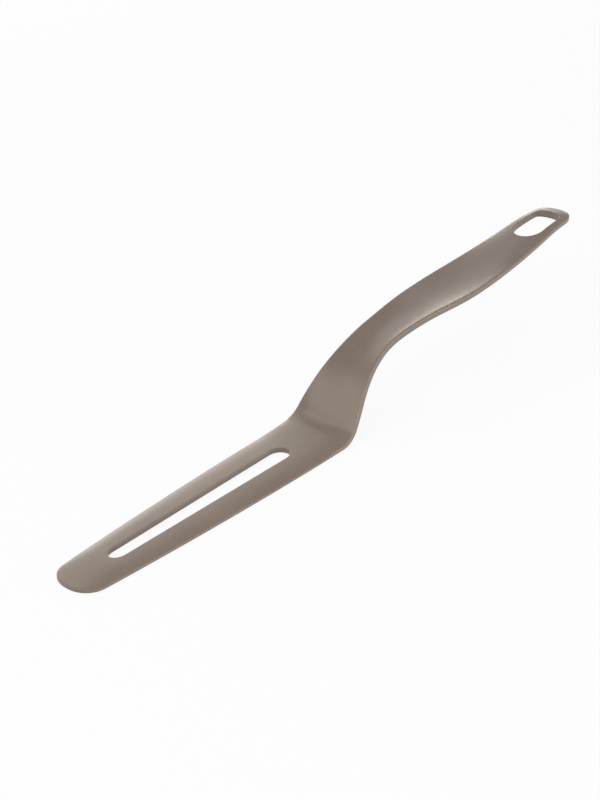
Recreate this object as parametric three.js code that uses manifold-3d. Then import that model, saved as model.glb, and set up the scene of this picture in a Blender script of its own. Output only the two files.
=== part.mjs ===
// A one-piece pancake spatula: a long slotted blade, a cranked neck and a dished handle with a hanging eye.
// Millimetres. X runs from the blade's tip to the handle's end, Y across it and Z up.
// The blade's underside lies on Z = 0, and the origin is on it, midway between the slot and the heel.

import * as THREE from 'three';
import { mergeVertices } from 'three/addons/utils/BufferGeometryUtils.js';
import Module from 'manifold-3d';

// Driving dimensions: the side profile, along the underside from the tip of the blade to the handle's end
const BLADE_LENGTH = 134.5;
const HEEL_RADIUS = 12;
const HEEL_ANGLE = 51.5; // degrees, the steepest slope of the neck
const NECK_LENGTH = 11.5;
const CREST_RADIUS = 43;
const CREST_ANGLE = 42; // degrees of the neck's slope that the crest takes back
const SHOULDER_RADIUS = 188;
const GRIP_LENGTH = 76.5;
const GRIP_RISE = 8.6; // degrees that the grip sweeps up again
const TAIL_LENGTH = 25;
const TAIL_DROOP = 13.8; // degrees that the end of the handle curls down

// Driving dimensions: the plan
const TIP_WIDTH = 19.9;
const HEEL_WIDTH = 30.6;
const BLADE_FLARE = 1.85; // 1 for straight blade edges, more for edges that bow out
const WAIST_WIDTH = 18.4;
const WAIST_BEFORE_CREST_END = 5;
const GRIP_WIDTH = 25;
const GRIP_WIDEST_AT = 18.5; // from the start of the grip
const END_WIDTH = 16.2;
const END_TAPER = 1.55; // 1 for straight tail edges, more for edges that bow out
const TIP_CAP = 9.3;
const END_CAP = 10;
const CAP_SQUARENESS = 2.25; // 2 for elliptic ends, more for squarer ones

// Driving dimensions: the section
const BLADE_EDGE = 1;
const TIP_CROWN = 0.7;
const BLADE_CROWN = 1.4;
const HEEL_CROWN = 1.8; // in the middle of the heel's bend, which it partly fills
const HEEL_FILL_BEFORE = 8; // how far before the bend the fill begins
const HEEL_FILL_PAST_NECK = 4; // how far past the neck the fill ends
const CROWN_FLATNESS = 3; // 2 for a parabola across, more for a flatter middle
const NECK_RIM = 3.2;
const HANDLE_RIM = 2.9;
const CREST_DISH = 1.9;
const HANDLE_DISH = 1.45;
const HANDLE_BELLY = 1.7;
const TAIL_RIM = 2.4;
const TAIL_CROWN = 1.1;
const TAIL_BELLY = 0.2;
const BLADE_ROUNDING = 0.5;
const RIM_ROUNDING = 0.9;
const ROUNDING_LIMIT = 0.45; // the most of an edge's thickness that its rounding takes

// Driving dimensions: the slot in the blade and the hanging eye
const SLOT_FROM_TIP = 21;
const SLOT_FROM_HEEL = 16.7;
const SLOT_TIP_WIDTH = 6.4;
const SLOT_HEEL_WIDTH = 8.4;
const SLOT_TIP_CAP = 4.9;
const SLOT_HEEL_CAP = 5.4;
const SLOT_CHAMFER = 0.3;
const EYE_FROM_END = 8;
const EYE_LENGTH = 25.8;
const EYE_GRIP_WIDTH = 13.4;
const EYE_END_WIDTH = 11.7;
const EYE_GRIP_CAP = 9.5;
const EYE_END_CAP = 3;
const EYE_CHAMFER = 0.4;
const OPENING_SQUARENESS = 2; // 2 for elliptic ends, more for squarer ones
const CUT_CLEARANCE = 1; // how far a cut reaches past the top and the underside

// Fineness of the facets: steps along each stretch of the profile, round the ends and edges, and across
const BLADE_STEPS = 14;
const HEEL_STEPS = 9;
const NECK_STEPS = 3;
const CREST_STEPS = 12;
const SHOULDER_STEPS = 6;
const GRIP_STEPS = 14;
const TAIL_STEPS = 8;
const SLOT_STEPS = 4;
const EYE_STEPS = 5;
const CAP_STEPS = 9;
const EDGE_STEPS = 3;
const ACROSS_STEPS = 8;
const LEAST_STEP = 1;
const JOIN_TOLERANCE = 1e-5;

const { degToRad, smoothstep } = THREE.MathUtils;

// The side profile is a chain of straight runs and tangent arcs, each split into a number of steps
const run = (length, turn, steps) => ({ length, turn: degToRad(turn), steps });
const arc = (radius, turn, steps) => run(radius * degToRad(Math.abs(turn)), turn, steps);
const heelArc = arc(HEEL_RADIUS, HEEL_ANGLE, HEEL_STEPS);
const crestArc = arc(CREST_RADIUS, -CREST_ANGLE, CREST_STEPS);
const shoulderArc = arc(SHOULDER_RADIUS, CREST_ANGLE - HEEL_ANGLE, SHOULDER_STEPS);
const profile = [
  run(BLADE_LENGTH, 0, BLADE_STEPS),
  heelArc,
  run(NECK_LENGTH, 0, NECK_STEPS),
  crestArc,
  shoulderArc,
  run(GRIP_LENGTH, GRIP_RISE, GRIP_STEPS),
  run(TAIL_LENGTH, -TAIL_DROOP, TAIL_STEPS),
];

// Stations along the profile where its features begin and end
const HEEL = BLADE_LENGTH;
const HEEL_END = HEEL + heelArc.length;
const HEEL_MIDDLE = (HEEL + HEEL_END) / 2;
const CREST_START = HEEL_END + NECK_LENGTH;
const CREST_END = CREST_START + crestArc.length;
const CREST_MIDDLE = (CREST_START + CREST_END) / 2;
const WAIST = CREST_END - WAIST_BEFORE_CREST_END;
const GRIP_START = CREST_END + shoulderArc.length;
const GRIP_WIDEST = GRIP_START + GRIP_WIDEST_AT;
const END = GRIP_START + GRIP_LENGTH + TAIL_LENGTH;
const SLOT_START = SLOT_FROM_TIP;
const SLOT_END = HEEL - SLOT_FROM_HEEL;
const EYE_END = END - EYE_FROM_END;
const EYE_START = EYE_END - EYE_LENGTH;
const ORIGIN = (SLOT_END + HEEL) / 2;

// Point at station s of the profile, moved across by y and square off the profile by n
function place(s, y, n) {
  let x = -ORIGIN;
  let z = 0;
  let slope = 0;
  let left = s;
  for (const { length, turn } of profile) {
    const step = Math.min(left, length);
    const bend = (turn * step) / length;
    const chord = bend ? (2 * step * Math.sin(bend / 2)) / bend : step;
    x += chord * Math.cos(slope + bend / 2);
    z += chord * Math.sin(slope + bend / 2);
    slope += bend;
    left -= step;
  }
  return new THREE.Vector3(x - n * Math.sin(slope), y, z + n * Math.cos(slope));
}

// Value at s of a law that eases from one [station, value] pair to the next and stays level beyond them
function eased(pairs, s) {
  let value = pairs[0][1];
  for (let i = 1; i < pairs.length; i += 1) {
    const [from, before] = pairs[i - 1];
    const [to, after] = pairs[i];
    value += (after - before) * smoothstep(s, from, to);
  }
  return value;
}

// Half the width of the blade, neck and handle, before the ends are rounded off
function halfWidth(s) {
  const alongBlade = Math.min(s / BLADE_LENGTH, 1);
  const alongTail = Math.max((s - GRIP_WIDEST) / (END - GRIP_WIDEST), 0);
  const blade = TIP_WIDTH + (HEEL_WIDTH - TIP_WIDTH) * (1 - (1 - alongBlade) ** BLADE_FLARE);
  const handle = eased([
    [HEEL, 0],
    [WAIST, WAIST_WIDTH - HEEL_WIDTH],
    [GRIP_WIDEST, GRIP_WIDTH - HEEL_WIDTH],
  ], s);
  const tail = (END_WIDTH - GRIP_WIDTH) * alongTail ** END_TAPER;
  return (blade + handle + tail) / 2;
}

// Thickness at the two long edges
const rimAt = (s) => eased([
  [SLOT_END, BLADE_EDGE],
  [CREST_START, NECK_RIM],
  [GRIP_START, HANDLE_RIM],
  [GRIP_WIDEST, HANDLE_RIM],
  [EYE_START, TAIL_RIM],
], s);

// Rise of the middle of the top over its edges, on the blade, in the heel and on the tail
const crownAt = (s) => eased([
  [0, TIP_CROWN],
  [SLOT_START, BLADE_CROWN],
  [HEEL - HEEL_FILL_BEFORE, BLADE_CROWN],
  [HEEL_MIDDLE, HEEL_CROWN],
  [CREST_START + HEEL_FILL_PAST_NECK, 0],
  [GRIP_WIDEST, 0],
  [EYE_START, TAIL_CROWN],
  [EYE_END, TAIL_CROWN],
  [END, 0],
], s);

// Depth of the dish in the handle's top below its rims
const dishAt = (s) => eased([
  [HEEL_END, 0],
  [CREST_MIDDLE, CREST_DISH],
  [GRIP_START, HANDLE_DISH],
  [GRIP_WIDEST, HANDLE_DISH],
  [EYE_START, 0],
], s);

// Drop of the middle of the underside below its edges
const bellyAt = (s) => eased([
  [HEEL_END, 0],
  [WAIST, HANDLE_BELLY],
  [GRIP_WIDEST, HANDLE_BELLY],
  [EYE_START, TAIL_BELLY],
  [END, 0],
], s);

// Rounding of the long edges, limited by their thickness
const roundingAt = (s) => Math.min(
  eased([[SLOT_END, BLADE_ROUNDING], [WAIST, RIM_ROUNDING]], s),
  ROUNDING_LIMIT * rimAt(s),
);

// Heights of the top and the underside over the profile
const arched = (s, y, flatness = 2) => Math.max(1 - Math.abs(y / halfWidth(s)) ** flatness, 0);
const topAt = (s, y) => rimAt(s) + crownAt(s) * arched(s, y, CROWN_FLATNESS) - dishAt(s) * arched(s, y);
const bottomAt = (s, y) => -bellyAt(s) * arched(s, y);

// Plan of a form that is rounded at both ends: stations, half-widths and outward normals, from end to end
function plan({ from, to, capFrom, capTo, squareness, widthAt, between }) {
  const cap = (i) => (Math.PI / 2) * (i / CAP_STEPS);
  const power = 2 / squareness;
  const points = [];
  for (let i = 0; i < CAP_STEPS; i += 1) {
    const s = from + capFrom * (1 - Math.cos(cap(i)) ** power);
    points.push({ s, w: widthAt(s) * Math.sin(cap(i)) ** power });
  }
  for (const s of [from + capFrom, ...between, to - capTo]) points.push({ s, w: widthAt(s) });
  for (let i = CAP_STEPS - 1; i >= 0; i -= 1) {
    const s = to - capTo * (1 - Math.cos(cap(i)) ** power);
    points.push({ s, w: widthAt(s) * Math.sin(cap(i)) ** power });
  }
  return points.map((point, i) => {
    const before = points[i - 1] ?? { s: points[1].s, w: -points[1].w };
    const after = points[i + 1] ?? { s: points[i - 1].s, w: -points[i - 1].w };
    const normal = new THREE.Vector2(before.w - after.w, after.s - before.s).normalize();
    return { ...point, normal };
  });
}

// Closed skin over a plan. One side of its section is a list of points from the top to the underside, each
// with its inset from the plan's edge and a height law; the rows between the two sides have `across` steps.
function skin(outline, side, across) {
  const rings = outline.map(({ s, w, normal }) => {
    const edge = side(s).map(({ inset, height }) => {
      const at = s - normal.x * inset;
      const y = Math.max(w - normal.y * inset, 0);
      return { at, y, height };
    });
    const row = ({ at, y, height }, toY) => Array.from({ length: across - 1 }, (_, i) => {
      const yi = toY * y * ((2 * (i + 1)) / across - 1);
      return place(at, yi, height(at, yi));
    });
    const sideAt = (sign) => edge.map(({ at, y, height }) => place(at, sign * y, height(at, y)));
    return [...row(edge[0], 1), ...sideAt(1), ...row(edge.at(-1), -1), ...sideAt(-1).reverse()];
  });
  const count = rings[0].length;
  const index = [];
  for (let i = 0; i + 1 < rings.length; i += 1) {
    for (let j = 0; j < count; j += 1) {
      const a = i * count + j;
      const b = i * count + ((j + 1) % count);
      index.push(a, b + count, b, a, a + count, b + count);
    }
  }
  const geometry = new THREE.BufferGeometry().setFromPoints(rings.flat());
  geometry.setIndex(index);
  return geometry;
}

// The bare moulding: rounded edges between a crowned or dished top and a flat or bellied underside
function mouldingSkin() {
  const firstInside = TIP_CAP + LEAST_STEP;
  const lastInside = END - END_CAP - LEAST_STEP;
  const between = [];
  let start = 0;
  for (const { length, steps } of profile) {
    for (let i = 0; i < steps; i += 1) between.push(start + (length * i) / steps);
    start += length;
  }
  const outline = plan({
    from: 0,
    to: END,
    capFrom: TIP_CAP,
    capTo: END_CAP,
    squareness: CAP_SQUARENESS,
    widthAt: halfWidth,
    between: between.filter((s) => s > firstInside && s < lastInside),
  });
  const side = (s) => {
    const r = roundingAt(s);
    const quarter = Array.from({ length: EDGE_STEPS + 1 }, (_, i) => ((Math.PI / 2) * i) / EDGE_STEPS);
    const upper = quarter.map((a) => ({
      inset: r * (1 - Math.sin(a)),
      height: (at, y) => topAt(at, y) - r * (1 - Math.cos(a)),
    }));
    const lower = quarter.toReversed().map((a) => ({
      inset: r * (1 - Math.sin(a)),
      height: (at, y) => bottomAt(at, y) + r * (1 - Math.cos(a)),
    }));
    return [...upper, ...lower];
  };
  return skin(outline, side, ACROSS_STEPS);
}

// A through opening that follows the profile, flared where it meets the top and the underside
function openingSkin(outline, chamfer) {
  const flare = chamfer + CUT_CLEARANCE;
  const side = () => [
    { inset: -flare, height: (at, y) => topAt(at, y) + CUT_CLEARANCE },
    { inset: 0, height: (at, y) => topAt(at, y) - chamfer },
    { inset: 0, height: (at, y) => bottomAt(at, y) + chamfer },
    { inset: -flare, height: (at, y) => bottomAt(at, y) - CUT_CLEARANCE },
  ];
  return skin(outline, side, 2);
}

// Half-width law of an opening that tapers evenly from one width to another
const tapered = (from, to, widthFrom, widthTo) => (s) => (
  (widthFrom + ((widthTo - widthFrom) * (s - from)) / (to - from)) / 2
);

// Stations that split a length evenly, without its ends
function evenly(from, to, steps) {
  const step = (to - from) / steps;
  return Array.from({ length: steps - 1 }, (_, i) => from + step * (i + 1));
}

const slotPlan = plan({
  from: SLOT_START,
  to: SLOT_END,
  capFrom: SLOT_TIP_CAP,
  capTo: SLOT_HEEL_CAP,
  squareness: OPENING_SQUARENESS,
  widthAt: tapered(SLOT_START, SLOT_END, SLOT_TIP_WIDTH, SLOT_HEEL_WIDTH),
  between: evenly(SLOT_START + SLOT_TIP_CAP, SLOT_END - SLOT_HEEL_CAP, SLOT_STEPS),
});

const eyePlan = plan({
  from: EYE_START,
  to: EYE_END,
  capFrom: EYE_GRIP_CAP,
  capTo: EYE_END_CAP,
  squareness: OPENING_SQUARENESS,
  widthAt: tapered(EYE_START, EYE_END, EYE_GRIP_WIDTH, EYE_END_WIDTH),
  between: evenly(EYE_START + EYE_GRIP_CAP, EYE_END - EYE_END_CAP, EYE_STEPS),
});

const wasm = await Module();
wasm.setup();

// Solid of a closed skin: its shared points are joined and its collapsed triangles left out
function solid(geometry) {
  const joined = mergeVertices(geometry, JOIN_TOLERANCE);
  const corners = joined.index.array;
  const kept = [];
  for (let i = 0; i < corners.length; i += 3) {
    const [a, b, c] = corners.subarray(i, i + 3);
    if (a !== b && b !== c && c !== a) kept.push(a, b, c);
  }
  return new wasm.Manifold(new wasm.Mesh({
    numProp: 3,
    vertProperties: new Float32Array(joined.attributes.position.array),
    triVerts: new Uint32Array(kept),
  }));
}

// Geometry of a finished solid, with flat-shaded facets
function geometryOf(body) {
  const { vertProperties, triVerts } = body.getMesh();
  const geometry = new THREE.BufferGeometry();
  geometry.setAttribute('position', new THREE.BufferAttribute(vertProperties, 3));
  geometry.setIndex(new THREE.BufferAttribute(triVerts, 1));
  geometry.computeVertexNormals();
  return geometry;
}

const moulding = solid(mouldingSkin())
  .subtract(solid(openingSkin(slotPlan, SLOT_CHAMFER)))
  .subtract(solid(openingSkin(eyePlan, EYE_CHAMFER)));

const nylon = new THREE.MeshStandardMaterial({ color: 0x7e7064, roughness: 0.4, metalness: 0 });
const mesh = new THREE.Mesh(geometryOf(moulding), nylon);
mesh.name = 'spatula_moulding';

const spatula = new THREE.Group();
spatula.name = 'pancake_spatula';
spatula.add(mesh);

export default spatula;
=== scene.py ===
# A one-piece pancake spatula lying on a white studio sweep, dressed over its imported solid.
import math

import bmesh
import bpy
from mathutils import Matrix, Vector


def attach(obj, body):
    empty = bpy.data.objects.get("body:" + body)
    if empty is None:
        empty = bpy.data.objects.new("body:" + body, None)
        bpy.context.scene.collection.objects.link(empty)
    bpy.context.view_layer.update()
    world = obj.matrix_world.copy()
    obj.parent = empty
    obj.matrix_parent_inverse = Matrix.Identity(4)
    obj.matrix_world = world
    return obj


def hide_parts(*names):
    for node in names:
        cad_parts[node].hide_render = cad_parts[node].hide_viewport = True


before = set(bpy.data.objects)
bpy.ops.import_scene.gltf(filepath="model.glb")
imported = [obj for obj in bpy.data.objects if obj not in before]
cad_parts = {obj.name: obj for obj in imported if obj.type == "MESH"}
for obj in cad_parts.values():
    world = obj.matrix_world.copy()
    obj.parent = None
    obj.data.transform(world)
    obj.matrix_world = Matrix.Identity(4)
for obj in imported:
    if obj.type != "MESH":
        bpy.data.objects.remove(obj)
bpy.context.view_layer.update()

# The moulding: blade, neck and handle are one injection moulding in taupe nylon, with no seam or fixing.
# Its blade is thin and gently crowned, its handle is dished for the thumb, and its edges are rounded.
# It is drawn flat first, as a blank over its plan in millimetres, and then bent along its side profile.
MM = 0.001

# Side profile, in millimetres and degrees
BLADE_LENGTH = 134.5
HEEL_RADIUS = 12
HEEL_ANGLE = 51.5
NECK_LENGTH = 11.5
CREST_RADIUS = 43
CREST_ANGLE = 42
SHOULDER_RADIUS = 188
SHOULDER_ANGLE = HEEL_ANGLE - CREST_ANGLE
GRIP_LENGTH = 76.5
GRIP_RISE = 8.6
TAIL_LENGTH = 25
TAIL_DROOP = 13.8

# Stretches of the side profile from the tip to the handle's end: name, length and turn in degrees
profile = [
    ("Blade", BLADE_LENGTH, 0),
    ("Heel", HEEL_RADIUS * math.radians(HEEL_ANGLE), HEEL_ANGLE),
    ("Neck", NECK_LENGTH, 0),
    ("Crest", CREST_RADIUS * math.radians(CREST_ANGLE), -CREST_ANGLE),
    ("Shoulder", SHOULDER_RADIUS * math.radians(SHOULDER_ANGLE), -SHOULDER_ANGLE),
    ("Grip", GRIP_LENGTH, GRIP_RISE),
    ("Tail", TAIL_LENGTH, -TAIL_DROOP),
]
ends = [sum(length for _, length, _ in profile[: i + 1]) for i in range(len(profile))]
HEEL, HEEL_END, CREST_START, CREST_END, GRIP_START, _, END = ends

# Plan: widths, the stations where they are reached, and the rounded ends
TIP_WIDTH = 19.9
HEEL_WIDTH = 30.6
BLADE_FLARE = 1.85
WAIST_WIDTH = 18.4
WAIST = CREST_END - 5
GRIP_WIDTH = 25
GRIP_WIDEST = GRIP_START + 18.5
END_WIDTH = 16.2
END_TAPER = 1.55
TIP_CAP = 9.3
END_CAP = 10
CAP_SQUARENESS = 2.25

# The slot and the eye: stations, widths, rounded ends, and roundings of the upper and lower edge
SLOT_START = 21
SLOT_END = HEEL - 16.7
SLOT_TIP_WIDTH = 6.4
SLOT_HEEL_WIDTH = 8.4
SLOT_TIP_CAP = 4.9
SLOT_HEEL_CAP = 5.4
SLOT_ROUNDING = (0.25, 0.6)
EYE_END = END - 8
EYE_START = EYE_END - 25.8
EYE_GRIP_WIDTH = 13.4
EYE_END_WIDTH = 11.7
EYE_GRIP_CAP = 9.5
EYE_END_CAP = 3
EYE_ROUNDING = (0.35, 0.8)

# Station of the frame's origin, midway between the slot and the heel
ORIGIN = (SLOT_END + HEEL) / 2

# Sections: thickness at the long edges, crowns, dishes, bellies and edge roundings
BLADE_EDGE = 1
TIP_CROWN = 0.7
BLADE_CROWN = 1.4
HEEL_FILL_START = HEEL - 8
HEEL_FILL_END = CREST_START + 4
HEEL_CROWN = 1.8
HEEL_MIDDLE = (HEEL + HEEL_END) / 2
CROWN_FLATNESS = 3
NECK_RIM = 3.2
HANDLE_RIM = 2.9
CREST_DISH = 1.9
CREST_DEEPEST = (CREST_START + CREST_END) / 2
HANDLE_DISH = 1.45
HANDLE_BELLY = 1.7
TAIL_RIM = 2.4
TAIL_CROWN = 1.1
TAIL_BELLY = 0.2
BLADE_ROUNDING = 0.5
RIM_ROUNDING = 0.7
BLADE_UNDER_ROUNDING = 0.2
RIM_UNDER_ROUNDING = 1
ROUNDING_LIMIT = 0.45

# Fineness of the mesh: rows, widest steps between stations, and distances to read a slope and to weld
CAP_ROWS = 18
ACROSS_ROWS = 12
EDGE_ROWS = 6
OPENING_STEP = 3
BLADE_STEP = 1.5
HEEL_STEP = 0.5
NECK_STEP = 1
CREST_STEP = 1.1
HANDLE_STEP = 2
PROBE = 0.01
WELD = 0.0005


def eased(pairs, s):
    """Value at station s of a law that eases from one (station, value) pair to the next."""
    value = pairs[0][1]
    for (start, before), (end, after) in zip(pairs, pairs[1:]):
        along = min(max((s - start) / (end - start), 0), 1)
        value += (after - before) * along * along * (3 - 2 * along)
    return value


def full_half_width(s):
    """Half the width of the blade, neck and handle before the two ends are rounded off."""
    along_blade = min(s / BLADE_LENGTH, 1)
    along_tail = max((s - GRIP_WIDEST) / (END - GRIP_WIDEST), 0)
    blade = TIP_WIDTH + (HEEL_WIDTH - TIP_WIDTH) * (1 - (1 - along_blade) ** BLADE_FLARE)
    waist = (WAIST, WAIST_WIDTH - HEEL_WIDTH)
    grip = (GRIP_WIDEST, GRIP_WIDTH - HEEL_WIDTH)
    handle = eased([(HEEL, 0), waist, grip], s)
    tail = (END_WIDTH - GRIP_WIDTH) * along_tail**END_TAPER
    return (blade + handle + tail) / 2


def outline(s):
    """Half the width of the finished outline, with its two rounded ends."""
    from_end = min(s / TIP_CAP, (END - s) / END_CAP, 1)
    rounding = (1 - (1 - max(from_end, 0)) ** CAP_SQUARENESS) ** (1 / CAP_SQUARENESS)
    return full_half_width(s) * rounding


def rim_at(s):
    """Thickness of the long edges."""
    neck = [(SLOT_END, BLADE_EDGE), (CREST_START, NECK_RIM)]
    handle = [(GRIP_START, HANDLE_RIM), (GRIP_WIDEST, HANDLE_RIM), (EYE_START, TAIL_RIM)]
    return eased(neck + handle, s)


def arch(s, y, flatness=2):
    """One along the middle and nothing at the long edges: a parabola, or one with a flatter middle."""
    return max(1 - abs(y / full_half_width(s)) ** flatness, 0)


def top_at(s, y):
    """Height of the top over the profile: crowned on the blade and the tail, dished on the handle."""
    blade = [(0, TIP_CROWN), (SLOT_START, BLADE_CROWN), (HEEL_FILL_START, BLADE_CROWN)]
    heel = [(HEEL_MIDDLE, HEEL_CROWN), (HEEL_FILL_END, 0), (GRIP_WIDEST, 0)]
    tail = [(EYE_START, TAIL_CROWN), (EYE_END, TAIL_CROWN), (END, 0)]
    crown = eased(blade + heel + tail, s) * arch(s, y, CROWN_FLATNESS)
    crest = [(HEEL_END, 0), (CREST_DEEPEST, CREST_DISH)]
    grip = [(GRIP_START, HANDLE_DISH), (GRIP_WIDEST, HANDLE_DISH), (EYE_START, 0)]
    return rim_at(s) + crown - eased(crest + grip, s) * arch(s, y)


def under_at(s, y):
    """Height of the underside over the profile: flat below the blade and bellied below the handle."""
    belly = [(HEEL_END, 0), (WAIST, HANDLE_BELLY), (GRIP_WIDEST, HANDLE_BELLY)]
    return -eased(belly + [(EYE_START, TAIL_BELLY), (END, 0)], s) * arch(s, y)


def evenly(start, end, most):
    """Stations from start to end, without the end, at most that far apart."""
    count = max(math.ceil((end - start) / most), 1)
    return [start + (end - start) * i / count for i in range(count)]


def rounded_end(pole, reach, width_at, squareness):
    """Plan points round an end, from its pole to where it has its full width."""
    points = []
    for i in range(CAP_ROWS):
        angle = math.pi / 2 * i / CAP_ROWS
        s = pole + reach * (1 - math.cos(angle) ** (2 / squareness))
        points.append((s, width_at(s) * math.sin(angle) ** (2 / squareness)))
    return points


def facings(points):
    """Outward plan direction at each point of an outline that runs from pole to pole."""
    first, last = points[1], points[-2]
    ring = [(first[0], -first[1]), *points, (last[0], -last[1])]
    steps = [(after[0] - before[0], after[1] - before[1]) for before, after in zip(ring, ring[2:])]
    return [Vector((-across, along)).normalized() for along, across in steps]


def rolled_edge(s, y, out, upper, lower):
    """Points down a rounded edge from top to underside, each with how far it is rubbed on top."""
    points = []
    for face, up, radius in ((top_at, 1, upper), (under_at, -1, lower)):
        near = face(s - out.x * radius, y - out.y * radius)
        far = face(s - out.x * (radius + PROBE), y - out.y * (radius + PROBE))
        tilt = math.atan(up * (far - near) / PROBE)
        start = radius * (1 - math.sin(tilt))
        base = face(s - out.x * start, y - out.y * start) - up * radius * math.cos(tilt)
        roll = []
        for i in range(EDGE_ROWS + 1):
            angle = tilt + (math.pi / 2 - tilt) * i / EDGE_ROWS
            inset = radius * (1 - math.sin(angle))
            height = base + up * radius * math.cos(angle)
            rub = math.sin(math.pi * i / EDGE_ROWS) if up > 0 else 0
            roll.append((s - out.x * inset, max(y - out.y * inset, 0), height, rub))
        points += roll[::up]
    return points


def opening_rows(start, end, caps, widths, roundings):
    """Rows of the wall of an opening between two stations: where each leaves the top, and its points."""

    def width_at(s):
        return (widths[0] + (widths[1] - widths[0]) * (s - start) / (end - start)) / 2

    points = rounded_end(start, caps[0], width_at, 2)
    points += [(s, width_at(s)) for s in evenly(start + caps[0], end - caps[1], OPENING_STEP)]
    points += [(end - caps[1], width_at(end - caps[1]))]
    points += rounded_end(end, -caps[1], width_at, 2)[::-1]
    rows = []
    for (s, y), out in zip(points, facings(points)):
        wall = [(*point[:3], 0) for point in rolled_edge(s, y, -out, *roundings)]
        rows.append((wall[0][0], wall))
    return rows


slot_rows = opening_rows(
    SLOT_START, SLOT_END, (SLOT_TIP_CAP, SLOT_HEEL_CAP), (SLOT_TIP_WIDTH, SLOT_HEEL_WIDTH), SLOT_ROUNDING
)
eye_rows = opening_rows(
    EYE_START, EYE_END, (EYE_GRIP_CAP, EYE_END_CAP), (EYE_GRIP_WIDTH, EYE_END_WIDTH), EYE_ROUNDING
)

# Stations of the rows across the blank: close together round the ends, the openings and the tight bends
tip_stations = [s for s, _ in rounded_end(0, TIP_CAP, full_half_width, CAP_SQUARENESS)]
end_stations = [s for s, _ in rounded_end(END, -END_CAP, full_half_width, CAP_SQUARENESS)][::-1]
slot_from, slot_to = slot_rows[0][0], slot_rows[-1][0]
eye_from, eye_to = eye_rows[0][0], eye_rows[-1][0]
between = evenly(slot_to, HEEL, BLADE_STEP)[1:] + evenly(HEEL, HEEL_END, HEEL_STEP)
between += evenly(HEEL_END, CREST_START, NECK_STEP) + evenly(CREST_START, CREST_END, CREST_STEP)
between += evenly(CREST_END, eye_from, HANDLE_STEP)
rows = [(s, None) for s in tip_stations + evenly(TIP_CAP, slot_from, BLADE_STEP)]
rows += slot_rows + [(s, None) for s in between] + eye_rows
rows += [(s, None) for s in end_stations if s > eye_to]

# Half of the blank: each row runs over the top, down the outer edge, back below and up an opening's wall
blank = bmesh.new()
rubbed = blank.verts.layers.float.new("rubbed")
edge_points = [(s, outline(s)) for s, _ in rows]
before = None
for (s, y), out, (_, wall) in zip(edge_points, facings(edge_points), rows):
    upper = eased([(SLOT_END, BLADE_ROUNDING), (WAIST, RIM_ROUNDING)], s)
    lower = eased([(SLOT_END, BLADE_UNDER_ROUNDING), (WAIST, RIM_UNDER_ROUNDING)], s)
    most = ROUNDING_LIMIT * rim_at(s)
    edge = rolled_edge(s, y, out, min(upper, most), min(lower, most))
    sheets = []
    inner_top, inner_under = (wall[0], wall[-1]) if wall else (None, None)
    for face, rim, inner in ((top_at, edge[0], inner_top), (under_at, edge[-1], inner_under)):
        inner = inner or (rim[0], 0)
        sheet = []
        for i in range(ACROSS_ROWS + 1):
            along = i / ACROSS_ROWS
            at = inner[0] + (rim[0] - inner[0]) * along
            across = inner[1] + (rim[1] - inner[1]) * along
            sheet.append((at, across, face(at, across), 0))
        sheets.append(sheet)
    strips = [sheets[0], edge, sheets[1][::-1], wall[::-1] if wall else []]
    knots = []
    for strip in strips:
        knots.append([blank.verts.new(Vector(point[:3]) * MM) for point in strip])
        for knot, point in zip(knots[-1], strip):
            knot[rubbed] = point[3]
    for old, new in zip(before or [], knots):
        for a, b, c, d in zip(old, old[1:], new[1:], new):
            blank.faces.new((a, b, c, d))
    before = knots
bmesh.ops.mirror(blank, geom=blank.verts[:] + blank.edges[:] + blank.faces[:], axis="Y", merge_dist=0)
bmesh.ops.remove_doubles(blank, verts=blank.verts[:], dist=WELD * MM)
bmesh.ops.recalc_face_normals(blank, faces=blank.faces[:])
for quad in blank.faces:
    quad.smooth = True
blank_mesh = bpy.data.meshes.new("spatula_body")
blank.to_mesh(blank_mesh)
blank.free()
spatula = bpy.data.objects.new("spatula_body", blank_mesh)
bpy.context.scene.collection.objects.link(spatula)


def add(tree, kind, links=(), **settings):
    """A node of that kind with its settings, and values or other nodes' outputs on its sockets."""
    node = tree.nodes.new(kind)
    for name, value in settings.items():
        setattr(node, name, value)
    for socket, value in dict(links).items():
        if isinstance(value, bpy.types.NodeSocket):
            tree.links.new(value, node.inputs[socket])
        else:
            node.inputs[socket].default_value = value
    return node


def linear(hex_colour):
    """Linear colour of an sRGB hex value."""
    channels = [int(hex_colour[i : i + 2], 16) / 255 for i in (0, 2, 4)]
    return [c / 12.92 if c <= 0.04045 else ((c + 0.055) / 1.055) ** 2.4 for c in channels] + [1]


# Moulded nylon, pigmented taupe in the melt: a matt, even body under a satin sheen seen at low angles.
# The mould's spark-eroded grain breaks up the sheen, and slow flow marks shift its colour and gloss.
# The real grain of about 0.06 mm is too fine to show, so it is drawn coarser. Use burnished the edges.
TAUPE = "7a6e64"
TAUPE_PALE = "7f7369"
TAUPE_RUBBED = "807469"
NYLON_IOR = 1.53
SATIN_SMOOTH = 0.3
SATIN_DULL = 0.36
FLOW_SIZE = 24
FLOW_SWIRL = 0.6
FLOW_BLEND = (0.35, 0.65)
GRAIN_SIZE = 0.5
GRAIN_HEIGHT = 0.008
GRAIN_STRENGTH = 0.8
GRAIN_GLOSS = 0.04
RUBBED_GLOSS = 0.06
NOISE_LOW = 0.3
NOISE_HIGH = 0.7
nylon = bpy.data.materials.new("satin moulded nylon")
nylon.use_nodes = True
nylon_tree = nylon.node_tree
shader = nylon_tree.nodes["Principled BSDF"]
shader.inputs["IOR"].default_value = NYLON_IOR
spot = add(nylon_tree, "ShaderNodeTexCoord").outputs["Object"]
flow_size = {"Vector": spot, "Scale": 1 / (FLOW_SIZE * MM), "Detail": 3, "Distortion": FLOW_SWIRL}
flow = add(nylon_tree, "ShaderNodeTexNoise", flow_size).outputs[0]
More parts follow.
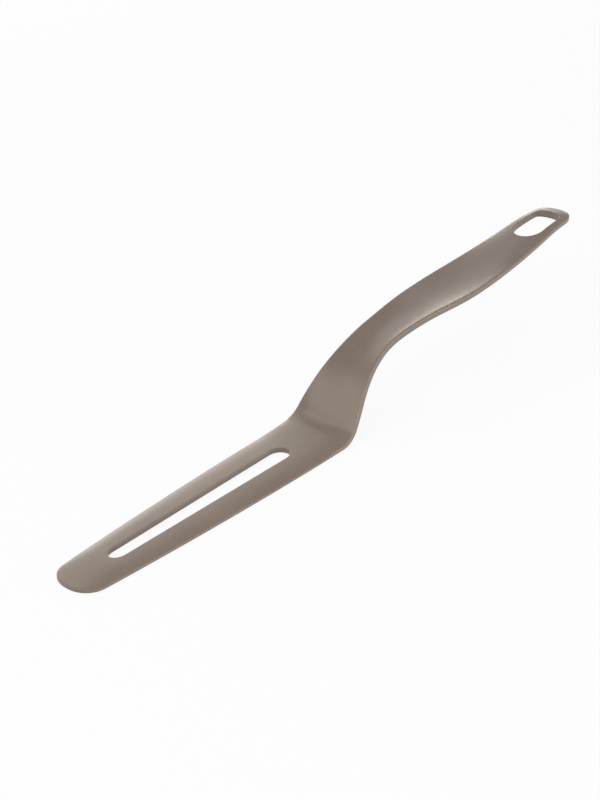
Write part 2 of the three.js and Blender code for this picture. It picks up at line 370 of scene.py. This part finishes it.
grain_size = {"Vector": spot, "Scale": 1 / (GRAIN_SIZE * MM), "Detail": 2}
grain = add(nylon_tree, "ShaderNodeTexNoise", grain_size).outputs[0]
worn = add(nylon_tree, "ShaderNodeAttribute", attribute_name="rubbed").outputs["Fac"]
pigment = add(nylon_tree, "ShaderNodeValToRGB", {0: flow})
for stop, position, colour in zip(pigment.color_ramp.elements, FLOW_BLEND, (TAUPE, TAUPE_PALE)):
    stop.position = position
    stop.color = linear(colour)
tone_mix = {0: worn, 6: pigment.outputs[0], 7: linear(TAUPE_RUBBED)}
tone = add(nylon_tree, "ShaderNodeMix", tone_mix, data_type="RGBA")
noise_span = {"From Min": NOISE_LOW, "From Max": NOISE_HIGH}
gloss_range = {"Value": flow, **noise_span, "To Min": SATIN_SMOOTH, "To Max": SATIN_DULL}
gloss = add(nylon_tree, "ShaderNodeMapRange", gloss_range).outputs[0]
speckle_range = {"Value": grain, **noise_span, "To Min": -GRAIN_GLOSS, "To Max": GRAIN_GLOSS}
speckle = add(nylon_tree, "ShaderNodeMapRange", speckle_range).outputs[0]
satin = add(nylon_tree, "ShaderNodeMath", {0: gloss, 1: speckle}, operation="ADD").outputs[0]
smooth = {0: worn, 1: -RUBBED_GLOSS, 2: satin}
burnish = add(nylon_tree, "ShaderNodeMath", smooth, operation="MULTIPLY_ADD").outputs[0]
relief_height = {"Height": grain, "Strength": GRAIN_STRENGTH, "Distance": GRAIN_HEIGHT * MM}
relief = add(nylon_tree, "ShaderNodeBump", relief_height).outputs[0]
for socket, value in {"Base Color": tone.outputs[2], "Roughness": burnish, "Normal": relief}.items():
    nylon_tree.links.new(value, shader.inputs[socket])

# The bend: each stretch of the profile takes its share of the station and adds its own chord and turn
bend = bpy.data.node_groups.new("Bend along the profile", "GeometryNodeTree")
bend.interface.new_socket("Geometry", in_out="INPUT", socket_type="NodeSocketGeometry")
bend.interface.new_socket("Geometry", in_out="OUTPUT", socket_type="NodeSocketGeometry")
sizes = [("Origin", ORIGIN * MM)]
for name, length, turn in profile:
    sizes.append((f"{name} length", length * MM))
    if turn:
        sizes.append((f"{name} turn", math.radians(turn)))
for name, value in sizes:
    bend.interface.new_socket(name, in_out="INPUT", socket_type="NodeSocketFloat")
given = add(bend, "NodeGroupInput").outputs
place = add(bend, "GeometryNodeInputPosition").outputs[0]
station, across, height = add(bend, "ShaderNodeSeparateXYZ", {0: place}).outputs
x = add(bend, "ShaderNodeMath", {0: 0, 1: given["Origin"]}, operation="SUBTRACT").outputs[0]
z = 0
slope = 0
left = station
for name, length, turn in profile:
    reach = given[f"{name} length"]
    step = add(bend, "ShaderNodeMath", {0: left, 1: reach}, operation="MINIMUM").outputs[0]
    left = add(bend, "ShaderNodeMath", {0: left, 1: step}, operation="SUBTRACT").outputs[0]
    chord = step
    heading = slope
    if turn:
        full_turn = given[f"{name} turn"]
        share = add(bend, "ShaderNodeMath", {0: step, 1: reach}, operation="DIVIDE").outputs[0]
        turned = add(bend, "ShaderNodeMath", {0: share, 1: full_turn}, operation="MULTIPLY").outputs[0]
        half = add(bend, "ShaderNodeMath", {0: turned, 1: 0.5}, operation="MULTIPLY").outputs[0]
        sine = add(bend, "ShaderNodeMath", {0: half}, operation="SINE").outputs[0]
        ratio = add(bend, "ShaderNodeMath", {0: sine, 1: half}, operation="DIVIDE").outputs[0]
        chord = add(bend, "ShaderNodeMath", {0: step, 1: ratio}, operation="MULTIPLY").outputs[0]
        heading = add(bend, "ShaderNodeMath", {0: slope, 1: half}, operation="ADD").outputs[0]
        slope = add(bend, "ShaderNodeMath", {0: slope, 1: turned}, operation="ADD").outputs[0]
    run = add(bend, "ShaderNodeMath", {0: heading}, operation="COSINE").outputs[0]
    rise = add(bend, "ShaderNodeMath", {0: heading}, operation="SINE").outputs[0]
    x = add(bend, "ShaderNodeMath", {0: chord, 1: run, 2: x}, operation="MULTIPLY_ADD").outputs[0]
    z = add(bend, "ShaderNodeMath", {0: chord, 1: rise, 2: z}, operation="MULTIPLY_ADD").outputs[0]
lean = add(bend, "ShaderNodeMath", {0: slope}, operation="SINE").outputs[0]
stand = add(bend, "ShaderNodeMath", {0: slope}, operation="COSINE").outputs[0]
leaned = add(bend, "ShaderNodeMath", {0: height, 1: lean}, operation="MULTIPLY").outputs[0]
x = add(bend, "ShaderNodeMath", {0: x, 1: leaned}, operation="SUBTRACT").outputs[0]
z = add(bend, "ShaderNodeMath", {0: height, 1: stand, 2: z}, operation="MULTIPLY_ADD").outputs[0]
bent = add(bend, "ShaderNodeCombineXYZ", {0: x, 1: across, 2: z}).outputs[0]
bending = {"Geometry": given["Geometry"], "Position": bent}
moved = add(bend, "GeometryNodeSetPosition", bending).outputs[0]
whole = add(bend, "GeometryNodeRealizeInstances", {0: moved}).outputs[0]
clad = add(bend, "GeometryNodeSetMaterial", {"Geometry": whole, "Material": nylon}).outputs[0]
add(bend, "NodeGroupOutput", {0: clad})

modifier = spatula.modifiers.new("Bend along the profile", "NODES")
modifier.node_group = bend
sockets = {item.name: item.identifier for item in bend.interface.items_tree if item.in_out == "INPUT"}
for name, value in sizes:
    modifier[sockets[name]] = value
depsgraph = bpy.context.evaluated_depsgraph_get()
spatula.data = bpy.data.meshes.new_from_object(spatula.evaluated_get(depsgraph))
spatula.modifiers.remove(modifier)
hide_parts("spatula_moulding")
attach(spatula, "root")

# The sweep: seamless white paper that the spatula lies on, wide enough to fill all but the lowest views.
# It is plain and matt and takes only a faint shadow. A white glow, met only by camera rays and by
# mirrored and transmitted ones, keeps it nearly white.
PAPER_REACH = 20
PAPER_DROP = 0.0002
PAPER_WHITE = "f1f4f9"
PAPER_ROUGHNESS = 0.9
PAPER_GLOW = 0.9
paper_mesh = bpy.data.meshes.new("paper_sweep")
corners = [(-PAPER_REACH, -PAPER_REACH), (PAPER_REACH, -PAPER_REACH)]
corners += [(PAPER_REACH, PAPER_REACH), (-PAPER_REACH, PAPER_REACH)]
paper_mesh.from_pydata([(x, y, -PAPER_DROP) for x, y in corners], [], [(0, 1, 2, 3)])
sweep = bpy.data.objects.new("paper_sweep", paper_mesh)
bpy.context.scene.collection.objects.link(sweep)
paper = bpy.data.materials.new("matt white paper")
paper.use_nodes = True
paper_tree = paper.node_tree
paper_shader = paper_tree.nodes["Principled BSDF"]
paper_shader.inputs["Base Color"].default_value = linear(PAPER_WHITE)
paper_shader.inputs["Roughness"].default_value = PAPER_ROUGHNESS
paper_shader.inputs["Specular IOR Level"].default_value = 0
path = add(paper_tree, "ShaderNodeLightPath").outputs
seen = path["Is Camera Ray"]
for ray in (path["Is Glossy Ray"], path["Is Transmission Ray"]):
    seen = add(paper_tree, "ShaderNodeMath", {0: seen, 1: ray}, operation="ADD").outputs[0]
shown = add(paper_tree, "ShaderNodeMath", {0: seen, 1: PAPER_GLOW}, operation="MULTIPLY").outputs[0]
glow = add(paper_tree, "ShaderNodeEmission", {"Color": (1, 1, 1, 1), "Strength": 1}).outputs[0]
glow_mix = {0: shown, 1: paper_shader.outputs[0], 2: glow}
mixed = add(paper_tree, "ShaderNodeMixShader", glow_mix).outputs[0]
paper_tree.links.new(mixed, paper_tree.nodes["Material Output"].inputs["Surface"])
paper_mesh.materials.append(paper)

# The studio: an evenly lit pale room with slightly warm lamps, all well outside the picture. A strip is
# low behind the spatula and another low on the right, softboxes are on the left and in front, and a dim
# panel is over the back.
ROOM_GLOW = 0.51
LAMP_WARMTH = "fff6ec"
MIDDLE = Vector((0.03, 0, 0.02))
world = bpy.data.worlds.new("pale studio")
bpy.context.scene.world = world
world.use_nodes = True
world_tree = world.node_tree
backdrop = world_tree.nodes["Background"]
backdrop.inputs["Color"].default_value = (1, 1, 1, 1)
backdrop.inputs["Strength"].default_value = ROOM_GLOW


def softbox(name, azimuth, elevation, away, size, watts):
    """A lamp that far from the spatula, from a compass angle off +X and a height angle in degrees."""
    lamp = bpy.data.lights.new(name, "AREA")
    lamp.shape = "RECTANGLE"
    lamp.size, lamp.size_y = size
    lamp.energy = watts
    lamp.color = linear(LAMP_WARMTH)[:3]
    box = bpy.data.objects.new(name, lamp)
    box.visible_camera = False
    turn = math.radians(azimuth)
    rise = math.radians(elevation)
    towards = Vector((math.cos(turn) * math.cos(rise), math.sin(turn) * math.cos(rise), math.sin(rise)))
    box.location = MIDDLE + towards * away
    box.rotation_euler = towards.to_track_quat("Z", "Y").to_euler()
    bpy.context.scene.collection.objects.link(box)


softbox("back strip", 60, 8, 1.3, (1.7, 0.36), 6.5)
softbox("back panel", 60, 36, 1.3, (0.9, 0.5), 1.7)
softbox("left softbox", 132, 42, 1, (0.6, 0.4), 1.6)
softbox("front softbox", 185, 40, 1, (0.7, 0.5), 2.8)
softbox("right strip", 285, 8, 1, (1.1, 0.25), 5.2)

# The camera: a short telephoto view from the blade's side, a little over its tip
VIEW_AZIMUTH = 50.008
VIEW_ELEVATION = 29.303
VIEW_DISTANCE = 0.7
AIM = Vector((0.01461, 0.01248, 0.00986))
LENS = 78.5
NEAREST = 0.01
camera = bpy.data.cameras.new("camera")
camera.lens = LENS
camera.clip_start = NEAREST
viewpoint = bpy.data.objects.new("camera", camera)
swing = math.radians(VIEW_AZIMUTH)
tilt = math.radians(VIEW_ELEVATION)
away = Vector((-math.sin(swing) * math.cos(tilt), -math.cos(swing) * math.cos(tilt), math.sin(tilt)))
viewpoint.location = AIM + away * VIEW_DISTANCE
viewpoint.rotation_euler = away.to_track_quat("Z", "Y").to_euler()
bpy.context.scene.collection.objects.link(viewpoint)
bpy.context.scene.camera = viewpoint

bpy.context.scene.view_settings.view_transform = "Standard"
